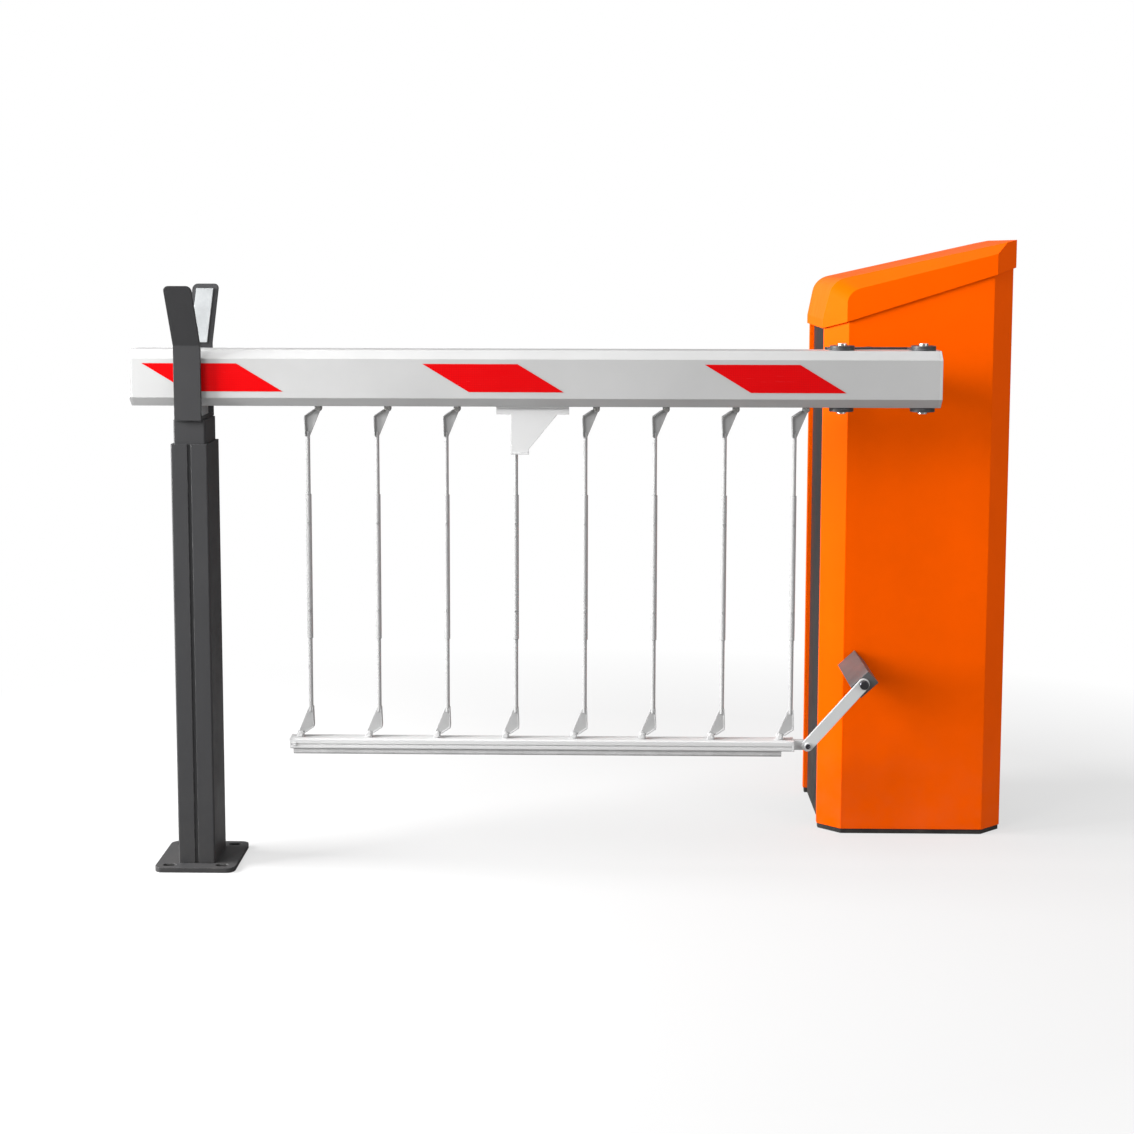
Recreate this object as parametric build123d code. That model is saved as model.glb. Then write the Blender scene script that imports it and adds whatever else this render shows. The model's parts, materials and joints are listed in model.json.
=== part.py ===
from build123d import *
import os
from math import atan2, cos, degrees, hypot, pi, radians, sin, sqrt, tan

# Parking barrier gate: an octagonal sheet-steel cabinet with its drive, a lifting boom with a
# folding skirt of eight hanging bars, and a support post with a fork.
# Millimetres. X runs along the boom (the boom points to -X), Y runs from the roadway side (-Y)
# to the service side (+Y), Z is up. The origin is the centre of the cabinet's anchor bolts.

os.makedirs("parts", exist_ok=True)

# ---- Clearances ----
RUN = 0.05          # radial running fit of shafts and pins
GAP = 1.0           # air between parts that pass each other

# ---- Cabinet ----
CAB_W = 340.0       # width along X
CAB_D = 290.0       # depth along Y
CHAMFER_X = 40.0    # corner chamfer, measured along X
CHAMFER_Y = 32.0    # corner chamfer, measured along Y
SHEET = 2.0         # sheet steel
RETURN = 12.0       # side return of each half shell
FLANGE = 18.0       # inward flange at the end of each return
RECESS = 8.0        # how deep the side panels sit
PLINTH_H = 9.0
EAVES_Z = 991.0     # lower edge of the hood above the cabinet's centre
EAVES_SLOPE = 0.318
ROOF_Z = 1057.5     # top of the hood above the cabinet's centre
ROOF_SLOPE = 0.223
BEVEL_Z = 1037.0    # lower edge of the bevels along the hood's long sides
BEVEL_SLOPE = 0.253
BEVEL_ANGLE = 45.0
LEAN_IN = 0.22      # how the hood's low end leans inward, per unit of height
ROOF_ROUND = 38.0   # round at the low end of the roof
CORNER_ROUND = 45.0  # round between the hood's low corners and its bevels
HOOD_GROW = 4.0     # how far the hood stands out past the shells
TUCK = 14.0         # how far the front shell reaches up inside the hood
DOOR_AIR = 1.5      # air between the door's top and the hood

# ---- Main shaft and boom ----
SHAFT_X = -95.0
SHAFT_Z = 858.0
SHAFT_R = 17.5
BOOM_REACH = 160.0  # boom's middle plane in front of the cabinet's front
BOOM_H = 97.0
BOOM_T = 78.0
BOOM_CHAMFER = 15.0
BOOM_WALL = 2.5
BOOM_TIP = 1288.0   # shaft to tip
BOOM_TAIL = 96.0    # shaft to tail
CAP_T = 4.0
CLAMP_PITCH = 139.0
CLAMP_R = 21.0
SADDLE_T = 8.0

# ---- Skirt ----
BARS = 8
BAR_FIRST = 970.5   # shaft to the first bar's pivot
BAR_PITCH = 120.1
PIVOT_DROP = 5.5    # pivot below the boom, and above the rail
BAR_SHIFT = 38.0    # the lower pivot hangs this far nearer the tip
RAIL_TOP = 223.5
PIN_R = 2.5
EYE_R = 4.5
WEB_T = 3.0
ROD_R = 3.75
SLEEVE_R = 5.0
SLEEVE_LOW = 400.0
SLEEVE_HIGH = 654.0
LEAN = 5.5          # degrees that the bars lean when the boom stands up
RAIL_H = 18.0
RAIL_W = 30.0
RAIL_WALL = 2.0
RAIL_LEFT = 1026.0  # shaft to the rail's free end
RAIL_RIGHT = 147.0  # shaft to the rail's hinged end
EDGE_H = 11.0

# ---- Link arm ----
LINK_PIN_X = 119.0  # shaft to the link's rail pivot
LINK_PIN_Z = 214.5
LINK_LENGTH = 146.0
LINK_HALF = 10.0
LINK_T = 5.0

# ---- Support post ----
POST_REACH = 1186.0  # shaft to post
POST_W = 64.0
POST_D = 90.0
POST_WALL = 4.0
POST_TOP = 745.0
POST_BASE = (140.0, 140.0, 8.0)
POST_BOLTS = (92.0, 108.0)
POST_SLOT = 22.0
POST_BOLT_R = 5.5
TUBE_TOP = 786.0
TUBE_LOW = 420.0
FORK_W = 46.0
FORK_T = 6.0
FORK_SIDE = 5.0      # air between boom and fork
FORK_KNEE = 914.0
FORK_TOP = 1016.0
FORK_FLARE = 62.0

# ---- Drive ----
CRANK_X = 60.0
CRANK_Z = 640.0
ARM = 60.0
ARM_HALF = 11.0
CRANK_SHAFT_R = 14.0
MODULE = 1.5
PINION_TEETH = 15
GEAR_TEETH = 75
PLATE_FRONT = -66.0
PLATE_REAR = 56.0
PLATE_T = 6.0
SPRING_Y = 28.0
SPRING_R = 18.0
SPRING_WIRE = 4.0
SPRING_FOOT = 566.0
SPRING_SEAT = 110.0  # eye to spring seat
MOTOR_R = 50.0

# ---- Anchors ----
ANCHOR_X = 220.0
ANCHOR_Y = 170.0
ANCHOR_R = 6.5
ANCHOR_SLOT = 26.0

# ---- Details ----
LEG = 25.0           # uprights: leg and wall of the angle section
LEG_WALL = 2.5
SHAFT_HOLE_R = 30.0
LOCK_X = -112.0
LOCK_Z = 560.0
LOCK_R = 9.0
SCREW_X = (-70.0, 70.0)
KNUCKLE_R = 5.0
HINGE_PIN_R = 2.5
HINGE_LEVELS = (150.0, 760.0)
KNUCKLE_H = 28.0
FRAME_LOW = 540.0
FRAME_TOP = 905.0
FRAME_SIDE = 148.0
BUFFER_AT = 36.0
BUFFER_R = 8.0
BUFFER_L = 14.0
ARM_Y = (-36.0, -26.0)
BEARING_HALF = 45.0
BOX_FRONT = -6.0
BOX_WALL = 5.0
BOX_LOW_R = 64.0
BOX_HIGH_R = 32.0
GEAR_Y = (10.0, 30.0)
MOTOR_BACK = 112.0
MOTOR_WALL = 4.0
CRANK_PIN_R = 6.0
ROD_Y = (-24.0, -16.0)
SPRING_ARM_Y = (10.0, 20.0)
BOLT_R = 5.0
STICKER_W = 162.0
STICKER_H = 48.0
STICKER_SLANT = 79.0
STICKER_PITCH = 479.5
STICKER_FIRST = 22.0    # tip to the first sticker
STICKER_LOW = 26.0      # above the boom's underside
STICKER_T = 0.4
TONGUE_T = 3.0
CLAMP_DISC_T = 5.0
EAR_HALF = 6.0
RAIL_CAP = 3.0
TAB_HALF = 9.0
HANGER_X = 637.0     # shaft to the hanger plate's left edge
HANGER_H = 80.0
LINK_PIVOT_R = 5.0
BRACKET_LONG = 41.0
BRACKET_DEEP = 27.0
BRACKET_WALL = 4.0
TUBE_GAP = 0.5
PAD_T = 4.0
PAD_MARGIN = 8.0

# ---- Worked out ----
BOOM_Y = -(CAB_D / 2 + BOOM_REACH)
BOOM_LOW = SHAFT_Z - BOOM_H / 2
PIVOT_TOP = BOOM_LOW - PIVOT_DROP
PIVOT_LOW = RAIL_TOP + PIVOT_DROP
POST_X = SHAFT_X - POST_REACH
SIDE_X = CAB_W / 2 - RECESS          # outer face of the side panels
SEAM_Y = CAB_D / 2 - CHAMFER_Y - RETURN + SHEET / 2   # middle of the shells' flanges
UPRIGHT_FRONT = -(SEAM_Y - SHEET / 2)
UPRIGHT_REAR = SEAM_Y - SHEET / 2 - GAP
GEAR_CENTRES = MODULE * (PINION_TEETH + GEAR_TEETH) / 2
MOTOR_Z = CRANK_Z + GEAR_CENTRES
ROD_ANGLE = degrees(atan2(CRANK_Z - SHAFT_Z, CRANK_X - SHAFT_X))
ARM_ANGLE = ROD_ANGLE + 90 + 45      # crank arm and lever arm at rest
SPRING_ANGLE = 45.0
OUTER = SIDE_X - SHEET
SHELL_TOP = EAVES_Z + TUCK + EAVES_SLOPE * CAB_W / 2
HINGE_X = CAB_W / 2 + 6.0
HINGE_Y = SEAM_Y
BOOM_LEFT = SHAFT_X - BOOM_TIP
BOOM_RIGHT = SHAFT_X + BOOM_TAIL
SADDLE_FRONT = BOOM_Y + BOOM_T / 2
SADDLE_BACK = SADDLE_FRONT + SADDLE_T
EAR_Y = (WEB_T / 2 + 0.3, WEB_T / 2 + 3.0)
RAIL_LOW = RAIL_TOP - RAIL_H
RAIL_X0 = SHAFT_X - RAIL_LEFT
RAIL_X1 = SHAFT_X - RAIL_RIGHT
LINK_X = SHAFT_X - LINK_PIN_X
TAB_Y = (BOOM_Y - 2.5, BOOM_Y + 2.5)
LINK_Y = (TAB_Y[0] - GAP - LINK_T, TAB_Y[0] - GAP)
FORK_IN = BOOM_T / 2 + FORK_SIDE


# ---- Shape helpers ----
def block(x0, x1, y0, y1, z0, z1):
    """A block between two corners."""
    return Pos((x0 + x1) / 2, (y0 + y1) / 2, (z0 + z1) / 2) * Box(x1 - x0, y1 - y0, z1 - z0)


def rod_x(y, z, r, x0, x1):
    """A round bar along X."""
    return Pos((x0 + x1) / 2, y, z) * Rot(0, 90, 0) * Cylinder(r, x1 - x0)


def rod_y(x, z, r, y0, y1):
    """A round bar along Y."""
    return Pos(x, (y0 + y1) / 2, z) * Rot(90, 0, 0) * Cylinder(r, y1 - y0)


def rod_z(x, y, r, z0, z1):
    """A round bar along Z."""
    return Pos(x, y, (z0 + z1) / 2) * Cylinder(r, z1 - z0)


def plate_xz(points, y0, y1):
    """A flat plate from an outline in X and Z."""
    face = make_face(Polyline(*[(x, y0, z) for x, z in points], close=True))
    return extrude(face, amount=y1 - y0, dir=(0, 1, 0))


def plate_xy(points, z0, z1):
    """A flat plate from an outline in X and Y."""
    face = make_face(Polyline(*[(x, y, z0) for x, y in points], close=True))
    return extrude(face, amount=z1 - z0, dir=(0, 0, 1))


def plate_yz(points, x0, x1):
    """A flat plate from an outline in Y and Z."""
    face = make_face(Polyline(*[(x0, y, z) for y, z in points], close=True))
    return extrude(face, amount=x1 - x0, dir=(1, 0, 0))


def bar_xz(a, b, half, y0, y1, rounded=True):
    """A flat bar between two points of the XZ plane, with round or square ends."""
    length = hypot(b[0] - a[0], b[1] - a[1])
    nx = -(b[1] - a[1]) / length * half
    nz = (b[0] - a[0]) / length * half
    corners = [(a[0] + nx, a[1] + nz), (b[0] + nx, b[1] + nz)]
    corners += [(b[0] - nx, b[1] - nz), (a[0] - nx, a[1] - nz)]
    bar = plate_xz(corners, y0, y1)
    if rounded:
        bar = bar + rod_y(a[0], a[1], half, y0, y1) + rod_y(b[0], b[1], half, y0, y1)
    return bar


def polar(x, z, radius, angle):
    """A point of the XZ plane at a distance and an angle from another."""
    return (x + radius * cos(radians(angle)), z + radius * sin(radians(angle)))


def inset(half_w, half_d, ch_x, ch_y, t):
    """The sizes of an octagon moved inward by t."""
    slant = hypot(ch_x, ch_y)
    new_x = ch_x - t * (1 + (ch_x - slant) / ch_y)
    new_y = ch_y - t * (1 + (ch_y - slant) / ch_x)
    return half_w - t, half_d - t, new_x, new_y


def octagon(half_w, half_d, ch_x, ch_y):
    """The corners of a rectangle with chamfered corners."""
    quarter = [(half_w - ch_x, half_d), (half_w, half_d - ch_y)]
    right = [(x, -y) for x, y in quarter] + quarter[::-1]
    return right + [(-x, y) for x, y in right[::-1]]


def above(z0, slope):
    """Everything above a plane that rises towards +X."""
    far = CAB_W
    outline = [(-far, z0 - far * slope), (far, z0 + far * slope), (far, 3 * ROOF_Z), (-far, 3 * ROOF_Z)]
    return plate_xz(outline, -CAB_D, CAB_D)


def save(name, *solids):
    """Write one sub-part, which may be a group of separate solids."""
    export_step(Compound(label=name, children=list(solids)), os.path.join("parts", name + ".step"))


def cabinet_octagon(t):
    """The cabinet's plan, moved inward by t."""
    return octagon(*inset(CAB_W / 2, CAB_D / 2, CHAMFER_X, CHAMFER_Y, t))


# ---- Cabinet base, uprights, shells, side panels and hood ----
def base_frame():
    plate = plate_xy(cabinet_octagon(SHEET), 0, PLINTH_H)
    plate -= block(-70, 70, -45, 45, -1, PLINTH_H + 1)
    travel = ANCHOR_SLOT / 2 - ANCHOR_R
    for sx in (-1, 1):
        x0, x1 = sorted((sx * SIDE_X, sx * CAB_W))
        plate -= block(x0, x1, UPRIGHT_FRONT, UPRIGHT_REAR, -1, PLINTH_H + 1)
        for sy in (-1, 1):
            x, y = sx * ANCHOR_X / 2, sy * ANCHOR_Y / 2
            plate -= block(x - travel, x + travel, y - ANCHOR_R, y + ANCHOR_R, -1, PLINTH_H + 1)
            plate -= rod_z(x - travel, y, ANCHOR_R, -1, PLINTH_H + 1)
            plate -= rod_z(x + travel, y, ANCHOR_R, -1, PLINTH_H + 1)
    return plate


def uprights():
    posts = []
    for sx in (-1, 1):
        for face, sign in ((UPRIGHT_FRONT, 1), (UPRIGHT_REAR, -1)):
            x0, x1 = sorted((sx * OUTER, sx * (OUTER - LEG)))
            w0, w1 = sorted((sx * OUTER, sx * (OUTER - LEG_WALL)))
            y0, y1 = sorted((face, face + sign * LEG_WALL))
            v0, v1 = sorted((face, face + sign * LEG))
            top = EAVES_Z + EAVES_SLOPE * CAB_W / 2
            post = block(x0, x1, y0, y1, PLINTH_H, top) + block(w0, w1, v0, v1, PLINTH_H, top)
            posts.append(post - above(EAVES_Z, EAVES_SLOPE))
    return posts


def half_shell(sign, tuck):
    """The front (-1) or rear (+1) half of the octagonal shell, with its inward flanges."""
    top = SHELL_TOP
    shell = plate_xy(cabinet_octagon(0), PLINTH_H, top) - plate_xy(cabinet_octagon(SHEET), 0, top + 1)
    edge = SEAM_Y - SHEET / 2
    y0, y1 = sorted((-sign * CAB_D, sign * edge))
    shell -= block(-CAB_W, CAB_W, y0, y1, 0, top + 1)
    for sx in (-1, 1):
        x0, x1 = sorted((sx * (CAB_W / 2 - 1), sx * (CAB_W / 2 - SHEET - FLANGE)))
        y0, y1 = sorted((sign * edge, sign * (edge + SHEET)))
        shell += block(x0, x1, y0, y1, PLINTH_H, top)
    return shell - above(EAVES_Z + tuck, EAVES_SLOPE)


def front_housing():
    shell = half_shell(-1, TUCK)
    return shell - rod_y(SHAFT_X, SHAFT_Z, SHAFT_HOLE_R, -CAB_D, 0)


def rear_door():
    shell = half_shell(1, -DOOR_AIR)
    return shell - rod_y(LOCK_X, LOCK_Z, LOCK_R + RUN, 0, CAB_D)


def side_panels():
    panels = []
    for sx in (-1, 1):
        x0, x1 = sorted((sx * SIDE_X, sx * OUTER))
        panel = block(x0, x1, UPRIGHT_FRONT, UPRIGHT_REAR, PLINTH_H, SHELL_TOP)
        panels.append(panel - above(EAVES_Z + TUCK, EAVES_SLOPE))
    return panels


def beyond(origin, normal, along):
    """Everything on the far side of a plane through a point."""
    far = 4 * CAB_W
    return Plane(origin=origin, x_dir=along, z_dir=normal) * Pos(0, 0, far / 2) * Box(far, far, far)


def roof_solid(t):
    """The hood's outside (t = 0) or inside (t = wall) as a solid that runs below the eaves."""
    half_w, half_d = CAB_W / 2 + HOOD_GROW, CAB_D / 2 + HOOD_GROW
    plan = octagon(*inset(half_w, half_d, CHAMFER_X, CHAMFER_Y, t))
    body = plate_xy(plan, EAVES_Z - CAB_W, EAVES_Z + CAB_W)
    body -= above(ROOF_Z - t * sqrt(1 + ROOF_SLOPE ** 2), ROOF_SLOPE)
    lean_z = EAVES_Z - EAVES_SLOPE * half_w + TUCK + 2
    body -= beyond((t - half_w, 0, lean_z), (-1, 0, LEAN_IN), (0, 1, 0))
    edge = body.edges().filter_by(Axis.Y).sort_by(Axis.X)
    edge = [e for e in edge if e.center().Z > lean_z + 1][0]
    body = fillet(edge, ROOF_ROUND - t)
    lift, spread = cos(radians(BEVEL_ANGLE)), sin(radians(BEVEL_ANGLE))
    for side in (-1, 1):
        low = BEVEL_Z - t * (1 - spread) / lift
        normal = (-BEVEL_SLOPE * lift, side * spread, lift)
        body -= beyond((0, side * (half_d - t), low), normal, (1, 0, BEVEL_SLOPE))
    slanting = [e for e in body.edges().filter_by(GeomType.LINE) if min(abs(v) for v in e % 0) > 0.3]
    return fillet([e for e in slanting if e.center().X < 0], CORNER_ROUND - t)


def hood():
    shell = roof_solid(0) - roof_solid(SHEET)
    lower = block(-CAB_W, CAB_W, -CAB_D, CAB_D, -10, SHELL_TOP * 2) - above(EAVES_Z, EAVES_SLOPE)
    return shell - lower


def pan_screw_y(x, z, y, sign, r, head=2.2):
    """A pan-head screw's head, standing on a face that looks along sign Y."""
    y0, y1 = sorted((y, y + sign * head))
    screw = rod_y(x, z, r, y0, y1)
    slot_y0, slot_y1 = sorted((y + sign * (head - 0.8), y + sign * (head + 1)))
    slot = block(x - r, x + r, slot_y0, slot_y1, z - 0.5, z + 0.5)
    return screw - slot


def hood_screws():
    face = CAB_D / 2 + HOOD_GROW
    screws = []
    for x in SCREW_X:
        z = EAVES_Z + EAVES_SLOPE * x + 10
        screws.append(pan_screw_y(x, z, face, 1, 5))
    return screws


# ---- Service door hinges and lock ----


def hinge_leaves():
    leaves = []
    for z in HINGE_LEVELS:
        leaf = rod_z(HINGE_X, HINGE_Y, KNUCKLE_R, z, z + KNUCKLE_H)
        leaf += block(SIDE_X, HINGE_X, HINGE_Y - KNUCKLE_R, HINGE_Y - KNUCKLE_R + 3, z, z + KNUCKLE_H)
        leaf += block(SIDE_X, SIDE_X + 3, HINGE_Y - 34, HINGE_Y - KNUCKLE_R + 3, z, z + KNUCKLE_H)
        leaf -= rod_z(HINGE_X, HINGE_Y, HINGE_PIN_R + RUN, z - 1, z + KNUCKLE_H + 1)
        leaves.append(leaf)
    return leaves


def door_hinges():
    leaves = []
    for z in HINGE_LEVELS:
        low = z + KNUCKLE_H + 0.5
        leaf = rod_z(HINGE_X, HINGE_Y, KNUCKLE_R, low, low + KNUCKLE_H)
        leaf += block(CAB_W / 2, HINGE_X, HINGE_Y + 1.5, HINGE_Y + 13, low, low + KNUCKLE_H)
        leaf += rod_z(HINGE_X, HINGE_Y, HINGE_PIN_R, z - 2, low + 1)
        leaves.append(leaf)
    return leaves


def lock_body():
    face = CAB_D / 2
    body = rod_y(LOCK_X, LOCK_Z, LOCK_R, face - 26, face + 3)
    body += rod_y(LOCK_X, LOCK_Z, LOCK_R + 4, face, face + 3)
    return body - rod_y(LOCK_X, LOCK_Z, 5 + RUN, face - 27, face + 4)


def lock_core():
    face = CAB_D / 2
    core = rod_y(LOCK_X, LOCK_Z, 5, face - 30, face + 4)
    core -= block(LOCK_X - 0.7, LOCK_X + 0.7, face + 1, face + 5, LOCK_Z - 3, LOCK_Z + 3)
    cam = bar_xz((LOCK_X, LOCK_Z), (LOCK_X - 22, LOCK_Z), 7, face - 30, face - 26.5)
    return core + cam


# ---- Machine frame, bearings, gearbox and motor ----


def buffer_places():
    """Where the two rubber stops stand: middle of the pad face, and the way it faces away."""
    places = []
    for angle, side in ((ARM_ANGLE, 1), (ARM_ANGLE - 90, -1)):
        foot = polar(SHAFT_X, SHAFT_Z, BUFFER_AT, angle)
        away = angle + 90 * side
        places.append((polar(foot[0], foot[1], ARM_HALF + 0.6, away), away))
    return places


def machine_frame():
    tie_x = OUTER - LEG_WALL
    frame = block(-tie_x, tie_x, UPRIGHT_FRONT + LEG_WALL, UPRIGHT_REAR - LEG_WALL, FRAME_LOW,
                  FRAME_LOW + PLATE_T)
    for y in (PLATE_FRONT, PLATE_REAR):
        frame += block(-FRAME_SIDE, FRAME_SIDE, y, y + PLATE_T, FRAME_LOW + PLATE_T, FRAME_TOP)
    frame -= rod_y(SHAFT_X, SHAFT_Z, SHAFT_R + 4, -CAB_D, CAB_D)
    frame -= rod_y(CRANK_X, MOTOR_Z, 12, PLATE_REAR - 1, PLATE_REAR + PLATE_T + 1)
    for (x, z), away in buffer_places():
        start = polar(x, z, BUFFER_L, away)
        end = polar(x, z, BUFFER_L + 8, away)
        frame += bar_xz(start, end, 10, PLATE_FRONT + PLATE_T, ARM_Y[1] + 3, rounded=False)
    post = block(SHAFT_X + 34, SHAFT_X + 54, SPRING_Y - 10, SPRING_Y + 10, FRAME_LOW + PLATE_T,
                 SPRING_FOOT - SPRING_WIRE)
    return frame + post


def stop_buffers():
    buffers = []
    for (x, z), away in buffer_places():
        mid = polar(x, z, BUFFER_L / 2, away)
        centre = (ARM_Y[0] + ARM_Y[1]) / 2
        turn = Rot(0, 90 - away, 0)
        buffers.append(Pos(mid[0], centre, mid[1]) * turn * Cylinder(BUFFER_R, BUFFER_L))
    return buffers


def shaft_bearings():
    units = []
    for y, sign in ((PLATE_FRONT, -1), (PLATE_REAR + PLATE_T, 1)):
        y0, y1 = sorted((y, y + sign * 10))
        b0, b1 = sorted((y, y + sign * 18))
        unit = block(SHAFT_X - BEARING_HALF, SHAFT_X + BEARING_HALF, y0, y1,
                     SHAFT_Z - BEARING_HALF, SHAFT_Z + BEARING_HALF)
        unit = fillet(unit.edges().filter_by(Axis.Y), 12)
        unit += rod_y(SHAFT_X, SHAFT_Z, 32, b0, b1)
        unit -= rod_y(SHAFT_X, SHAFT_Z, SHAFT_R + RUN, b0 - 1, b1 + 1)
        units.append(unit)
    return units


def bearing_bolts():
    bolts = []
    for y, sign in ((PLATE_FRONT, -1), (PLATE_REAR + PLATE_T, 1)):
        for dx in (-33, 33):
            for dz in (-33, 33):
                y0, y1 = sorted((y + sign * 10, y + sign * 15))
                hexagon = extrude(Plane.XZ.offset(-y1) * RegularPolygon(6.5, 6), amount=5)
                bolts.append(Pos(SHAFT_X + dx, 0, SHAFT_Z + dz) * hexagon)
    return bolts


def gearbox_outline(grow, y0, y1):
    """A rounded case around both gears."""
    case = rod_y(CRANK_X, CRANK_Z, BOX_LOW_R + grow, y0, y1)
    case += rod_y(CRANK_X, MOTOR_Z, BOX_HIGH_R + grow, y0, y1)
    low, high = BOX_LOW_R + grow, BOX_HIGH_R + grow
    lean = (BOX_LOW_R - BOX_HIGH_R) / GEAR_CENTRES
    rise = sqrt(1 - lean ** 2)
    sides = [(CRANK_X - low * rise, CRANK_Z + low * lean), (CRANK_X + low * rise, CRANK_Z + low * lean)]
    sides += [(CRANK_X + high * rise, MOTOR_Z + high * lean), (CRANK_X - high * rise, MOTOR_Z + high * lean)]
    return case + plate_xz(sides, y0, y1)


def gearbox_housing():
    case = gearbox_outline(0, BOX_FRONT + BOX_WALL, PLATE_REAR)
    case -= gearbox_outline(-BOX_WALL, BOX_FRONT, PLATE_REAR - BOX_WALL)
    case += rod_y(CRANK_X, CRANK_Z, 22, GEAR_Y[1] + 4, PLATE_REAR)
    case -= rod_y(CRANK_X, CRANK_Z, CRANK_SHAFT_R + RUN, GEAR_Y[1], PLATE_REAR - 4)
    case -= rod_y(CRANK_X, MOTOR_Z, 8 + RUN, 0, PLATE_REAR + 1)
    return case


def gearbox_cover():
    cover = gearbox_outline(0, BOX_FRONT, BOX_FRONT + BOX_WALL)
    cover += rod_y(CRANK_X, CRANK_Z, 24, BOX_FRONT - 6, BOX_FRONT + BOX_WALL)
    cover -= rod_y(CRANK_X, CRANK_Z, CRANK_SHAFT_R + RUN, BOX_FRONT - 7, BOX_FRONT + BOX_WALL + 1)
    return cover


def motor_housing():
    body = rod_y(CRANK_X, MOTOR_Z, MOTOR_R, PLATE_REAR + PLATE_T, MOTOR_BACK)
    for i in range(12):
        angle = 30 * i + 15
        a = polar(CRANK_X, MOTOR_Z, MOTOR_R - 1, angle)
        b = polar(CRANK_X, MOTOR_Z, MOTOR_R + 6, angle)
        body += bar_xz(a, b, 1.2, PLATE_REAR + PLATE_T + 8, MOTOR_BACK - 2, rounded=False)
    body -= rod_y(CRANK_X, MOTOR_Z, MOTOR_R - MOTOR_WALL, PLATE_REAR + PLATE_T + 4, MOTOR_BACK + 1)
    return body - rod_y(CRANK_X, MOTOR_Z, 8 + RUN, PLATE_REAR, MOTOR_BACK)


def motor_stator():
    ring = rod_y(CRANK_X, MOTOR_Z, MOTOR_R - MOTOR_WALL, PLATE_REAR + PLATE_T + 6, MOTOR_BACK - 4)
    return ring - rod_y(CRANK_X, MOTOR_Z, 37, PLATE_REAR, MOTOR_BACK)


def motor_end_cover():
    cover = rod_y(CRANK_X, MOTOR_Z, MOTOR_R, MOTOR_BACK, MOTOR_BACK + 6)
    cover += rod_y(CRANK_X, MOTOR_Z, 18, MOTOR_BACK, MOTOR_BACK + 12)
    return cover - rod_y(CRANK_X, MOTOR_Z, 8 + RUN, MOTOR_BACK - 1, MOTOR_BACK + 8)


def rotor():
    shaft = rod_y(CRANK_X, MOTOR_Z, 8, 4, MOTOR_BACK + 6)
    return shaft + rod_y(CRANK_X, MOTOR_Z, 36, PLATE_REAR + PLATE_T + 8, MOTOR_BACK - 6)


def gear(teeth, bore, first, y0, y1, backlash=0.25):
    """A spur gear along Y about the origin, with a tooth at the angle first."""
    pitch_r = MODULE * teeth / 2
    tip_r = pitch_r + MODULE * 0.95
    root_r = pitch_r - MODULE * 1.25
    pressure = radians(20)
    base_r = pitch_r * cos(pressure)
    half = (pi * MODULE / 2 - backlash) / 2 / pitch_r
    involute_at_pitch = tan(pressure) - pressure

    def flank(r):
        """Half the tooth's angle at a radius."""
        if r <= base_r:
            return half + involute_at_pitch
        roll = sqrt((r / base_r) ** 2 - 1)
        return half + involute_at_pitch - (roll - atan2(roll, 1))

    radii = [root_r, max(base_r, root_r + 0.1), pitch_r, tip_r]
    points = []
    for i in range(teeth):
        middle = radians(first) + 2 * pi * i / teeth
        sides = [(r, middle - flank(r)) for r in radii] + [(r, middle + flank(r)) for r in radii[::-1]]
        points += [(r * cos(a), r * sin(a)) for r, a in sides]
    return plate_xz(points, y0, y1) - rod_y(0, 0, bore, y0 - 1, y1 + 1)


def output_gear():
    return Pos(CRANK_X, 0, CRANK_Z) * gear(GEAR_TEETH, CRANK_SHAFT_R, 90, *GEAR_Y)


def drive_pinion():
    pitch_angle = 360 / PINION_TEETH
    return Pos(CRANK_X, 0, MOTOR_Z) * gear(PINION_TEETH, 8, -90 + pitch_angle / 2, *GEAR_Y)


def crank():
    tip = polar(CRANK_X, CRANK_Z, ARM, ARM_ANGLE)
    body = bar_xz((CRANK_X, CRANK_Z), tip, ARM_HALF, *ARM_Y) + rod_y(CRANK_X, CRANK_Z, 20, *ARM_Y)
    body += rod_y(CRANK_X, CRANK_Z, CRANK_SHAFT_R, ARM_Y[0], PLATE_REAR - 5)
    return body + rod_y(tip[0], tip[1], CRANK_PIN_R, ARM_Y[0], ROD_Y[1] + 2)


def connecting_rod():
    upper = polar(SHAFT_X, SHAFT_Z, ARM, ARM_ANGLE)
    lower = polar(CRANK_X, CRANK_Z, ARM, ARM_ANGLE)
    body = bar_xz(upper, lower, 7, *ROD_Y)
    body += rod_y(upper[0], upper[1], 11, *ROD_Y) + rod_y(lower[0], lower[1], 11, *ROD_Y)
    body -= rod_y(lower[0], lower[1], CRANK_PIN_R + RUN, ROD_Y[0] - 1, ROD_Y[1] + 1)
    return body - rod_y(upper[0], upper[1], CRANK_PIN_R + 0.4, ROD_Y[0] - 1, ROD_Y[1] + 1)


# ---- Main shaft, lever and balance spring ----


def main_shaft():
    return rod_y(SHAFT_X, SHAFT_Z, SHAFT_R, SADDLE_FRONT + 2, PLATE_REAR + PLATE_T + 22)


def shaft_lever():
    tip = polar(SHAFT_X, SHAFT_Z, ARM, ARM_ANGLE)
    spring_tip = polar(SHAFT_X, SHAFT_Z, ARM, SPRING_ANGLE)
    body = rod_y(SHAFT_X, SHAFT_Z, 28, ARM_Y[0], SPRING_ARM_Y[1])
    body += bar_xz((SHAFT_X, SHAFT_Z), tip, ARM_HALF, *ARM_Y)
    body += bar_xz((SHAFT_X, SHAFT_Z), spring_tip, ARM_HALF, *SPRING_ARM_Y)
    body += rod_y(tip[0], tip[1], CRANK_PIN_R, ARM_Y[0], ROD_Y[1] + 2)
    body += rod_y(spring_tip[0], spring_tip[1], CRANK_PIN_R, SPRING_ARM_Y[0], SPRING_Y + 6)
    return body - rod_y(SHAFT_X, SHAFT_Z, SHAFT_R, ARM_Y[0] - 1, SPRING_ARM_Y[1] + 1)


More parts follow.
